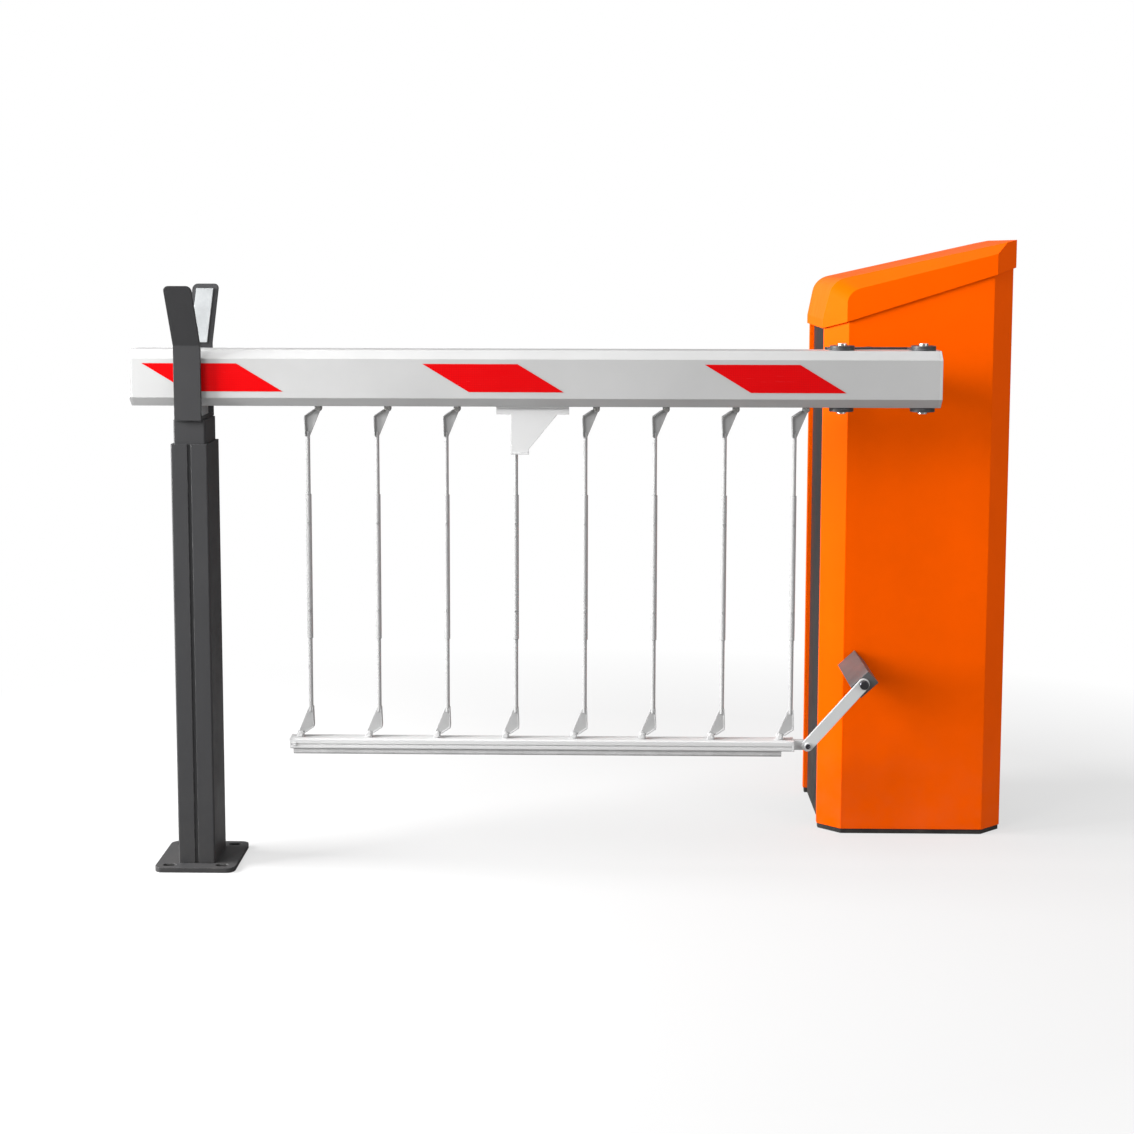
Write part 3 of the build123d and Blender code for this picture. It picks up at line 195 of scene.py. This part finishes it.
def paint(name, color, rough, worn, peel=0.00012, wear=0.5, dust=0.0, shine=0.3,
          tint=(1.0, 1.0, 1.0)):
    """Powder coat: orange peel, slow mottling, scuffed edges and dust towards the ground."""
    s = Shader(name)
    mottle = s.ramp(s.noise(5.0, 4.0), 0.35, 0.68)
    tone = s.mix(mottle, scaled(color, 0.95), scaled(color, 1.03))
    speck = s.ramp(s.noise(420.0, 2.0), 0.66, 0.74, 0.0, 0.10)
    tone = s.mix(speck, tone, scaled(color, 0.6))
    break_up = s.ramp(s.noise(60.0, 5.0, 0.7), 0.46, 0.62)
    scuff = s.math("MULTIPLY", s.math("MULTIPLY", s.edges(0.0016), break_up), wear)
    tone = s.mix(scuff, tone, worn)
    if dust:
        low = s.ramp(s.height(), DUST_TOP, 0.0)
        patch = s.ramp(s.noise(26.0, 6.0, 0.7), 0.35, 0.75)
        veil = s.math("MULTIPLY", s.math("MULTIPLY", low, patch), dust)
        tone = s.mix(veil, tone, DUST_COLOR)
    grain = s.noise(650.0, 2.0)
    smear = s.noise(9.0, 5.0, 0.65)
    roughness = s.math("ADD", s.ramp(smear, 0.3, 0.7, rough - 0.06, rough + 0.08),
                       s.math("MULTIPLY", scuff, 0.2))
    wave = s.bump(s.noise(70.0, 2.0), peel * 2.0, 0.5)
    normal = s.bump(grain, peel, 0.6, wave)
    s.set(Specular_IOR_Level=shine, Specular_Tint=(*tint, 1.0))
    return s.finish(tone, roughness, normal)


def metal(name, color, rough, fine, streak=(1.0, 1.0, 1.0), wear=0.4):
    """Bare or plated metal with drawn streaks, small pits and brighter edges."""
    s = Shader(name)
    along = s.stretched(*streak)
    lines = s.noise(fine, 4.0, 0.7, along)
    patch = s.ramp(s.noise(22.0, 5.0, 0.65), 0.35, 0.7)
    tone = s.mix(patch, scaled(color, 0.8), scaled(color, 1.08))
    tone = s.mix(s.ramp(lines, 0.35, 0.65, 0.0, 0.22), tone, scaled(color, 0.6))
    edge = s.math("MULTIPLY", s.edges(0.001), wear)
    tone = s.mix(edge, tone, scaled(color, 1.3))
    roughness = s.math("ADD", s.ramp(lines, 0.3, 0.7, rough - 0.08, rough + 0.1),
                       s.ramp(patch, 0.0, 1.0, 0.06, -0.03))
    normal = s.bump(lines, 0.00008, 0.7)
    s.set(Metallic=1.0)
    return s.finish(tone, roughness, normal)


def zinc(name, color):
    """Zinc plate with a faint spangle."""
    s = Shader(name)
    spangle = s.cells(90.0, "F1")
    tone = s.mix(s.ramp(spangle, 0.1, 0.7), scaled(color, 0.82), scaled(color, 1.1))
    stain = s.ramp(s.noise(14.0, 6.0, 0.7), 0.52, 0.75, 0.0, 0.35)
    tone = s.mix(stain, tone, STAIN_COLOR)
    roughness = s.ramp(s.noise(40.0, 4.0), 0.3, 0.7, 0.30, 0.48)
    normal = s.bump(s.noise(260.0, 3.0), 0.00008, 0.6)
    s.set(Metallic=1.0)
    return s.finish(tone, roughness, normal)


def rubber(name, color, rough=0.75):
    """Moulded rubber: fine grain, bloom and slightly polished edges."""
    s = Shader(name)
    bloom = s.ramp(s.noise(30.0, 5.0, 0.7), 0.4, 0.7)
    tone = s.mix(bloom, scaled(color, 0.9), scaled(color, 1.12))
    edge = s.math("MULTIPLY", s.edges(0.0012), 0.3)
    tone = s.mix(edge, tone, scaled(color, 1.4))
    roughness = s.ramp(bloom, 0.0, 1.0, rough - 0.08, rough + 0.08)
    normal = s.bump(s.noise(900.0, 3.0), 0.0001, 0.8)
    return s.finish(tone, roughness, normal)


def plastic(name, color, rough=0.5):
    """Spark-eroded moulded plastic."""
    s = Shader(name)
    tone = s.mix(s.ramp(s.noise(18.0, 4.0), 0.35, 0.7), scaled(color, 0.94), scaled(color, 1.05))
    tone = s.mix(s.math("MULTIPLY", s.edges(0.001), 0.3), tone, scaled(color, 1.35))
    roughness = s.ramp(s.noise(160.0, 3.0), 0.3, 0.7, rough - 0.05, rough + 0.1)
    normal = s.bump(s.noise(1400.0, 2.0), 0.00006, 0.8)
    return s.finish(tone, roughness, normal)


def reflective_film(name, color):
    """Red film with a fine honeycomb under a glossy face."""
    s = Shader(name)
    cell = s.cells(330.0, random_cells=0.0)
    wall = s.ramp(cell, 0.02, 0.12)
    tone = s.mix(wall, scaled(color, 0.72), color)
    fade = s.ramp(s.noise(7.0, 4.0), 0.35, 0.7)
    tone = s.mix(fade, tone, scaled(color, 0.9))
    scratch = s.noise(40.0, 6.0, 0.8, s.stretched(0.3, 1.0, 6.0))
    roughness = s.ramp(scratch, 0.45, 0.75, 0.16, 0.34)
    normal = s.bump(wall, 0.00003, 0.35)
    s.set(Specular_IOR_Level=0.25)
    return s.finish(tone, roughness, normal)


def laminated(name, color):
    """Stacked sheet iron: thin layers along Y."""
    s = Shader(name)
    wave = s.add("ShaderNodeTexWave", bands_direction="Y")
    s.link(s.coords, wave.inputs["Vector"])
    wave.inputs["Scale"].default_value = 320.0
    layers = wave.outputs["Fac"]
    tone = s.mix(layers, scaled(color, 0.7), scaled(color, 1.15))
    roughness = s.ramp(s.noise(60.0, 4.0), 0.3, 0.7, 0.42, 0.62)
    normal = s.bump(layers, 0.0001, 0.6)
    s.set(Metallic=0.8)
    return s.finish(tone, roughness, normal)


ORANGE = (0.94, 0.101, 0.0)
WHITE = (0.425, 0.425, 0.424)
ANTHRACITE = (0.031, 0.031, 0.0325)

MATERIALS = {
    "orange_paint": paint("orange_paint", ORANGE, 0.46, wear=0.3, worn=(1.0, 0.2, 0.0), dust=0.05,
                          shine=0.1, tint=(1.0, 0.35, 0.0)),
    "panel_grey": paint("panel_grey", (0.0165, 0.017, 0.0175), 0.5, wear=0.4, worn=(0.12, 0.12, 0.12),
                        dust=0.08, shine=0.25),
    "plinth_black": paint("plinth_black", (0.02, 0.02, 0.02), 0.55, worn=(0.15, 0.15, 0.15), dust=0.1),
    "zinc_steel": zinc("zinc_steel", (0.66, 0.67, 0.68)),
    "bolt_zinc": metal("bolt_zinc", (0.78, 0.77, 0.74), 0.28, fine=500.0),
    "link_bolt_dark": metal("link_bolt_dark", (0.09, 0.09, 0.1), 0.38, fine=500.0),
    "lock_chrome": metal("lock_chrome", (0.86, 0.86, 0.87), 0.14, fine=600.0, wear=0.1),
    "cast_grey": paint("cast_grey", (0.16, 0.17, 0.18), 0.55, peel=0.0004, worn=(0.5, 0.5, 0.5)),
    "motor_alu": metal("motor_alu", (0.66, 0.67, 0.68), 0.45, fine=200.0),
    "stator_iron": laminated("stator_iron", (0.34, 0.28, 0.24)),
    "gear_steel": metal("gear_steel", (0.56, 0.56, 0.58), 0.3, streak=(1.0, 0.1, 1.0), fine=400.0),
    "buffer_rubber": rubber("buffer_rubber", (0.02, 0.02, 0.02)),
    "controller_plastic": plastic("controller_plastic", (0.12, 0.13, 0.14)),
    "boom_white": paint("boom_white", WHITE, 0.34, peel=0.00006, wear=0.25, worn=(0.9, 0.9, 0.9)),
    "cap_white": plastic("cap_white", (0.47, 0.47, 0.47), 0.45),
    "sticker_red": reflective_film("sticker_red", (0.62, 0.0015, 0.003)),
    "clamp_anthracite": paint("clamp_anthracite", (0.045, 0.046, 0.05), 0.45, worn=(0.4, 0.4, 0.4)),
    "skirt_white": paint("skirt_white", (0.37, 0.37, 0.37), 0.4, peel=0.00008, wear=0.3,
                         worn=(0.6, 0.6, 0.6)),
    "rail_alu": paint("rail_alu", (0.56, 0.56, 0.56), 0.38, peel=0.00006, wear=0.3, worn=(0.9, 0.9, 0.9)),
    "edge_rubber": rubber("edge_rubber", (0.49, 0.49, 0.49), 0.6),
    "link_grey": paint("link_grey", (0.52, 0.53, 0.53), 0.36, wear=0.5, worn=(0.8, 0.8, 0.8)),
    "post_anthracite": paint("post_anthracite", ANTHRACITE, 0.5, wear=0.4, worn=(0.22, 0.22, 0.22),
                             dust=0.03, shine=0.25),
    "pad_grey": rubber("pad_grey", (0.27, 0.28, 0.285), 0.6),
}


# Two nodes are finished lighter than the rest of their slot.
OWN_FINISH = {
    "link_bracket": paint("bracket_grey", (0.085, 0.085, 0.087), 0.45, wear=0.4, worn=(0.3, 0.3, 0.3)),
    "hanger_plate": paint("hanger_white", (0.56, 0.56, 0.56), 0.4, peel=0.00008, wear=0.3,
                          worn=(0.8, 0.8, 0.8)),
}


def dress_nodes():
    """Give every CAD node its own finish or its slot's material."""
    for part in frame["record"]["subparts"]:
        mesh = NODES[part["node"]].data
        mesh.materials.clear()
        mesh.materials.append(OWN_FINISH.get(part["node"], MATERIALS[part["material_slot"]]))


dress_nodes()


# ---------------------------------------------------------------- new pieces
def mesh_piece(name, mesh_maker, body, slot, smooth_angle):
    """A new object from a bmesh, riding on a body and finished as a slot; the angle is in degrees."""
    mesh = bpy.data.meshes.new(name)
    work = bmesh.new()
    mesh_maker(work)
    bmesh.ops.recalc_face_normals(work, faces=work.faces)
    work.to_mesh(mesh)
    work.free()
    mesh.materials.append(MATERIALS[slot])
    piece = bpy.data.objects.new(name, mesh)
    bpy.context.scene.collection.objects.link(piece)
    mesh.shade_smooth()
    mesh.set_sharp_from_angle(angle=radians(smooth_angle))
    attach(piece, body)
    return piece


SPRING_WIRE = 0.004
SPRING_TURNS = 22
END_TURNS = 1.2


def coil(work, centre, radius, wire, low, high, turns, sides=10, steps=28):
    """A coil spring along Z with closed end turns."""
    rings = []
    total = turns * steps
    flat = END_TURNS / turns
    for i in range(total + 1):
        t = i / total
        eased = min(1.0, max(0.0, (t - flat / 2) / (1 - flat)))
        z = low + wire / 2 + (high - low - wire) * eased
        angle = 2 * pi * i / steps
        out = Vector((cos(angle), sin(angle), 0))
        middle = Vector(centre) + out * (radius - wire / 2)
        ring = []
        for k in range(sides):
            a = 2 * pi * k / sides
            ring.append(work.verts.new((middle.x + out.x * cos(a) * wire / 2,
                                        middle.y + out.y * cos(a) * wire / 2, z + sin(a) * wire / 2)))
        rings.append(ring)
    for first, second in zip(rings, rings[1:]):
        for k in range(sides):
            work.faces.new((first[k], first[(k + 1) % sides], second[(k + 1) % sides], second[k]))
    work.faces.new(rings[0][::-1])
    work.faces.new(rings[-1])


def add_balance_spring():
    """The coil in place of the plain tube."""
    low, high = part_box("balance_spring")
    centre = ((low.x + high.x) / 2, (low.y + high.y) / 2, 0)
    radius = (high.x - low.x) / 2
    spring = mesh_piece("balance_spring_coil",
                        lambda w: coil(w, centre, radius, SPRING_WIRE, low.z, high.z, SPRING_TURNS),
                        "cabinet", "zinc_steel", 80.0)
    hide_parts("balance_spring")
    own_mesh(spring)


add_balance_spring()


def screw_head(work, centre, radius, height, facing=1):
    """A socket screw's head with a hexagon recess, on a face that looks along Y (facing 1) or -Y (-1)."""
    sides = 24

    def ring(depth, size, hexagon=False):
        points = []
        for k in range(sides):
            angle = 2 * pi * k / sides
            reach = size * cos(pi / 6) / cos(angle % (pi / 3) - pi / 6) if hexagon else size
            offset = Vector((reach * cos(angle), facing * depth, reach * sin(angle)))
            points.append(work.verts.new(Vector(centre) + offset))
        return points

    rings = [ring(0.0, radius), ring(height * 0.65, radius), ring(height, radius * 0.82),
             ring(height, radius * 0.55, True), ring(height * 0.3, radius * 0.53, True)]
    for low, high in zip(rings, rings[1:]):
        for k in range(sides):
            work.faces.new((low[k], low[(k + 1) % sides], high[(k + 1) % sides], high[k]))
    work.faces.new(rings[0])
    work.faces.new(rings[-1])


def rounded_pad(work, centre, half_w, half_h, corner, height, crown=0.0008):
    """A raised pad with round corners on a face that looks along +Y."""
    rings = []
    for depth, shrink in ((0.0, 0.0), (height - crown, 0.0), (height, crown)):
        ring = []
        for quarter, (sx, sz) in enumerate(((1, 1), (-1, 1), (-1, -1), (1, -1))):
            for step in range(7):
                angle = pi / 2 * (quarter + step / 6)
                x = sx * (half_w - corner) + (corner - shrink) * cos(angle)
                z = sz * (half_h - corner) + (corner - shrink) * sin(angle)
                ring.append(work.verts.new(Vector(centre) + Vector((x, depth, z))))
        rings.append(ring)
    count = len(rings[0])
    for low, high in zip(rings, rings[1:]):
        for k in range(count):
            work.faces.new((low[k], low[(k + 1) % count], high[(k + 1) % count], high[k]))
    work.faces.new(rings[0])
    work.faces.new(rings[-1])


COVER_SCREW_R = 0.0035


def add_motor_screws():
    """Six screws round the motor's end cover."""
    low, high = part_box("motor_end_cover")
    centre = (low + high) / 2
    screw_edge = 0.006
    circle = (high.x - low.x) / 2 - screw_edge
    boss = 0.006
    head_h = 0.0028

    def heads(work):
        for k in range(6):
            angle = pi / 3 * k + pi / 6
            place = (centre.x + circle * cos(angle), high.y - boss, centre.z + circle * sin(angle))
            screw_head(work, place, COVER_SCREW_R, head_h)

    mesh_piece("motor_cover_screws", heads, "cabinet", "bolt_zinc", 30.0)


def add_controller_face():
    """Lid screws and a keypad with three keys and a display on the controller box."""
    low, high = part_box("controller_box")
    face = high.y
    middle = (low + high) / 2
    screw_edge = 0.011
    head_h = 0.0022
    keypad_z = middle.z + 0.025
    keypad_t = 0.0015
    keypad_half_w, keypad_half_h, keypad_corner = 0.038, 0.028, 0.004
    front = face + keypad_t
    key_pitch, keys_down = 0.022, 0.010
    key_half_w, key_half_h, key_corner, key_t = 0.0075, 0.006, 0.002, 0.0018
    display_up = 0.012
    display_half_w, display_half_h, display_corner, display_t = 0.027, 0.008, 0.0015, 0.0010
    thin_crown = 0.0004

    def lid_screws(work):
        for x in (low.x + screw_edge, high.x - screw_edge):
            for z in (low.z + screw_edge, high.z - screw_edge):
                screw_head(work, (x, face, z), COVER_SCREW_R, head_h)

    def keypad(work):
        rounded_pad(work, (middle.x, face, keypad_z), keypad_half_w, keypad_half_h, keypad_corner,
                    keypad_t, thin_crown)

    def keys(work):
        for k in (-1, 0, 1):
            place = (middle.x + key_pitch * k, front, keypad_z - keys_down)
            rounded_pad(work, place, key_half_w, key_half_h, key_corner, key_t)

    def display(work):
        rounded_pad(work, (middle.x, front, keypad_z + display_up), display_half_w, display_half_h,
                    display_corner, display_t, thin_crown)

    mesh_piece("controller_lid_screws", lid_screws, "cabinet", "bolt_zinc", 30.0)
    mesh_piece("controller_keypad", keypad, "cabinet", "panel_grey", 40.0)
    mesh_piece("controller_keys", keys, "cabinet", "buffer_rubber", 40.0)
    mesh_piece("controller_display", display, "cabinet", "plinth_black", 40.0)


def add_link_screw():
    """The dark screw in front of the link's rail end."""
    low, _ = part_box("link_arm")
    arm_half = 0.010
    head_r, head_h = 0.0046, 0.0016
    place = (low.x + arm_half, low.y, low.z + arm_half)
    mesh_piece("link_rail_screw", lambda w: screw_head(w, place, head_r, head_h, -1),
               "link", "link_bolt_dark", 30.0)


add_motor_screws()
add_controller_face()
add_link_screw()


# ---------------------------------------------------------------- stage, light and camera
PURE_WHITE = (1.0, 1.0, 1.0, 1.0)
SKY_FILL = 0.33


def set_world():
    """White to the camera, dimmer as a light on the gate."""
    world = bpy.data.worlds.new("studio")
    bpy.context.scene.world = world
    world.use_nodes = True
    tree = world.node_tree
    tree.nodes.clear()
    seen = tree.nodes.new("ShaderNodeBackground")
    seen.inputs["Color"].default_value = PURE_WHITE
    seen.inputs["Strength"].default_value = 1.0
    fill = tree.nodes.new("ShaderNodeBackground")
    fill.inputs["Color"].default_value = PURE_WHITE
    fill.inputs["Strength"].default_value = SKY_FILL
    path = tree.nodes.new("ShaderNodeLightPath")
    mix = tree.nodes.new("ShaderNodeMixShader")
    out = tree.nodes.new("ShaderNodeOutputWorld")
    tree.links.new(path.outputs["Is Camera Ray"], mix.inputs["Fac"])
    tree.links.new(fill.outputs["Background"], mix.inputs[1])
    tree.links.new(seen.outputs["Background"], mix.inputs[2])
    tree.links.new(mix.outputs["Shader"], out.inputs["Surface"])


FLOOR_SEEN = (0.47, 0.47, 0.47)
FLOOR_BOUNCE = (0.175, 0.19)
FLOOR_DROP = 0.0005
FADE_FROM, FADE_TO = 0.95, 1.6
FADE_SQUEEZE = 0.8
FADE_SHIFT = (0.45, 0.25, 0.0)
GLOW_NEAR = 0.62


def add_floor():
    """A pale floor: bright to the camera, fading to white away from the gate, dim in what it bounces."""
    mesh = bpy.data.meshes.new("floor")
    size = 40.0
    mesh.from_pydata([(-size, -size, 0), (size, -size, 0), (size, size, 0), (-size, size, 0)], [],
                     [(0, 1, 2, 3)])
    floor = bpy.data.objects.new("floor", mesh)
    bpy.context.scene.collection.objects.link(floor)
    floor.location.z = cad_box[0][2] - FLOOR_DROP
    s = Shader("floor_pale")
    s.set(Roughness=0.9, Specular_IOR_Level=0.0)
    seen = s.add("ShaderNodeLightPath").outputs["Is Camera Ray"]
    grain = s.ramp(s.noise(3.0, 3.0), 0.3, 0.7, *FLOOR_BOUNCE)
    dim = s.mix(grain, (0.0, 0.0, 0.0), (1.0, 1.0, 1.0))
    s.link(s.mix(seen, dim, FLOOR_SEEN), s.principled.inputs["Base Color"])
    white = s.add("ShaderNodeEmission")
    white.inputs["Color"].default_value = PURE_WHITE
    away = s.add("ShaderNodeVectorMath", operation="LENGTH")
    s.link(s.stretched(FADE_SQUEEZE, 1.0, 1.0, FADE_SHIFT), away.inputs[0])
    share = s.math("MULTIPLY", s.ramp(away.outputs["Value"], FADE_FROM, FADE_TO, GLOW_NEAR, 1.0), seen)
    blend = s.add("ShaderNodeMixShader")
    s.link(share, blend.inputs["Fac"])
    s.link(s.principled.outputs["BSDF"], blend.inputs[1])
    s.link(white.outputs["Emission"], blend.inputs[2])
    s.link(blend.outputs["Shader"], s.tree.nodes["Material Output"].inputs["Surface"])
    mesh.materials.append(s.material)


def add_area(name, place, target, size, power):
    data = bpy.data.lights.new(name, "AREA")
    data.energy = power
    data.size = size
    lamp = bpy.data.objects.new(name, data)
    bpy.context.scene.collection.objects.link(lamp)
    lamp.location = place
    lamp.rotation_euler = (Vector(target) - Vector(place)).to_track_quat("-Z", "Y").to_euler()


def add_lights():
    """Soft boxes: a strong one on the left, a key, a fill on the right and one overhead."""
    cabinet = (-0.1, -0.15, 0.6)
    middle = (-0.6, -0.25, 0.6)
    add_area("side", (-3.6, -0.7, 1.3), cabinet, 1.4, 360)
    add_area("key", (-3.1, -2.6, 2.3), middle, 1.6, 82)
    add_area("right_fill", (3.4, -3.2, 1.8), cabinet, 2.4, 75)
    add_area("overhead", (-0.4, -0.4, 5.0), middle, 3.0, 80)


PICTURE = 1134.0
FOCAL = 1731.1
PRINCIPAL_UP = 146.5
CAMERA_PLACE = (-0.5845, -3.2766, 1.0747)
YAW, PITCH, ROLL = -0.99, 5.59, 0.10


def add_camera():
    """The studio camera: 3 m in front of the boom, 1.07 m up, a shifted and slightly tipped view."""
    yaw, pitch, roll = radians(YAW), radians(PITCH), radians(ROLL)
    forward = Vector((sin(yaw) * cos(pitch), cos(yaw) * cos(pitch), -sin(pitch)))
    flat_right = Vector((cos(yaw), -sin(yaw), 0))
    flat_up = flat_right.cross(forward)
    right = flat_right * cos(roll) + flat_up * sin(roll)
    up = flat_up * cos(roll) - flat_right * sin(roll)
    data = bpy.data.cameras.new("camera")
    data.sensor_width = 36.0
    data.lens = FOCAL / PICTURE * data.sensor_width
    data.shift_y = -PRINCIPAL_UP / PICTURE
    data.clip_end = 100.0
    camera = bpy.data.objects.new("camera", data)
    bpy.context.scene.collection.objects.link(camera)
    turn = Matrix((right, up, -forward)).transposed().to_4x4()
    camera.matrix_world = Matrix.Translation(CAMERA_PLACE) @ turn
    bpy.context.scene.camera = camera


set_world()
add_floor()
add_lights()
add_camera()
bpy.context.scene.view_settings.view_transform = "Standard"
